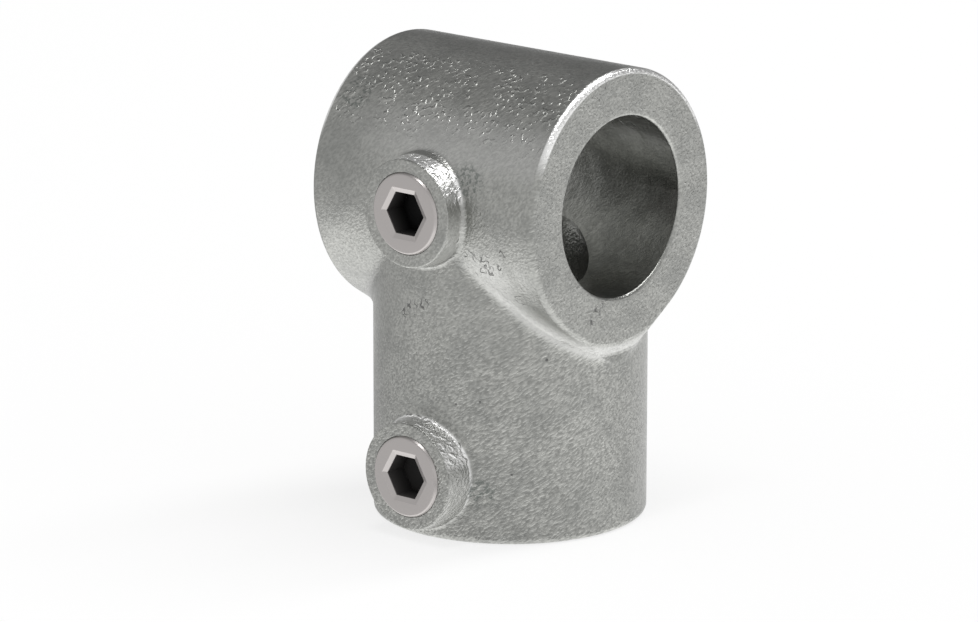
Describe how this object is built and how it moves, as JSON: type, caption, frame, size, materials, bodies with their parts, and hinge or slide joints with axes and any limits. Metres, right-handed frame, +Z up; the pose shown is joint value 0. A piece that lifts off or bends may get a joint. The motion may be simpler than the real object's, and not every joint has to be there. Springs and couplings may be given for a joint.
{
  "type": "tube clamp tee fitting",
  "caption": "Galvanised cast tee clamp: a sleeve for a through rail tube over a socket for an upright post tube, each locked by a hexagon-socket set screw in a boss.",
  "frame": {"origin": "where the rail tube's axis crosses the post tube's axis", "axes": "+X along the rail bore, +Z up and away from the post socket, -Y the way the set screws face"},
  "size_m": [0.055, 0.0577, 0.0905],
  "materials": {
    "galvanised_casting": "hot-dip galvanised, mottled grey with fine grain",
    "set_screw_steel": "satin plated steel"
  },
  "bodies": {
    "casting": {"cast_body": "galvanised_casting"},
    "rail_screw": {"rail_set_screw": "set_screw_steel"},
    "post_screw": {"post_set_screw": "set_screw_steel"}
  },
  "joints": [
    {"name": "rail_screw_travel", "type": "slide", "parent": "casting", "child": "rail_screw", "axis": [0, -1, 0], "range_m": [-0.002, 0.008]},
    {"name": "post_screw_travel", "type": "slide", "parent": "casting", "child": "post_screw", "axis": [0, -1, 0], "range_m": [-0.002, 0.005]}
  ]
}
